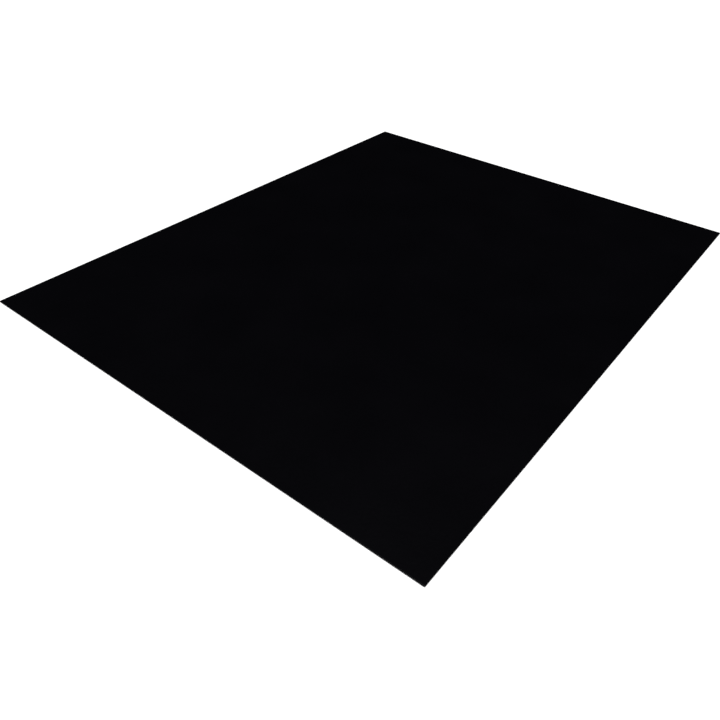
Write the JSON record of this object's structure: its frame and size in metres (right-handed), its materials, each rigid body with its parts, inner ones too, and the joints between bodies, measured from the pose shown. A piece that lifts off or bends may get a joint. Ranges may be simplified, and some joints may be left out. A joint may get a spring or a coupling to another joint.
{
  "type": "kick plate",
  "caption": "Flat black coated aluminium sheet with square corners and bevelled front edges, backed by foam tape strips under release liners, for bonding to the foot of a door.",
  "frame": {"origin": "under the centre of the plate, in the plane of the release liners' outer faces; with the liners off, a door's face would be 0.18 mm above it", "axes": "+X along the long side, across the door; +Y up the door; +Z out of the coated face, away from the door"},
  "size_m": [0.762, 0.6096, 0.0021],
  "materials": {
    "black_coat": "satin",
    "foam_tape": "matte",
    "liner_film": "satin"
  },
  "bodies": {
    "root": {"face_plate": "black_coat", "tape_bottom": "foam_tape", "tape_top": "foam_tape", "tape_upright_1": "foam_tape", "tape_upright_2": "foam_tape", "tape_upright_3": "foam_tape", "tape_upright_4": "foam_tape", "tape_upright_5": "foam_tape", "tape_upright_6": "foam_tape", "tape_upright_7": "foam_tape", "liner_bottom": "liner_film", "liner_top": "liner_film", "liner_upright_1": "liner_film", "liner_upright_2": "liner_film", "liner_upright_3": "liner_film", "liner_upright_4": "liner_film", "liner_upright_5": "liner_film", "liner_upright_6": "liner_film", "liner_upright_7": "liner_film"}
  },
  "joints": []
}
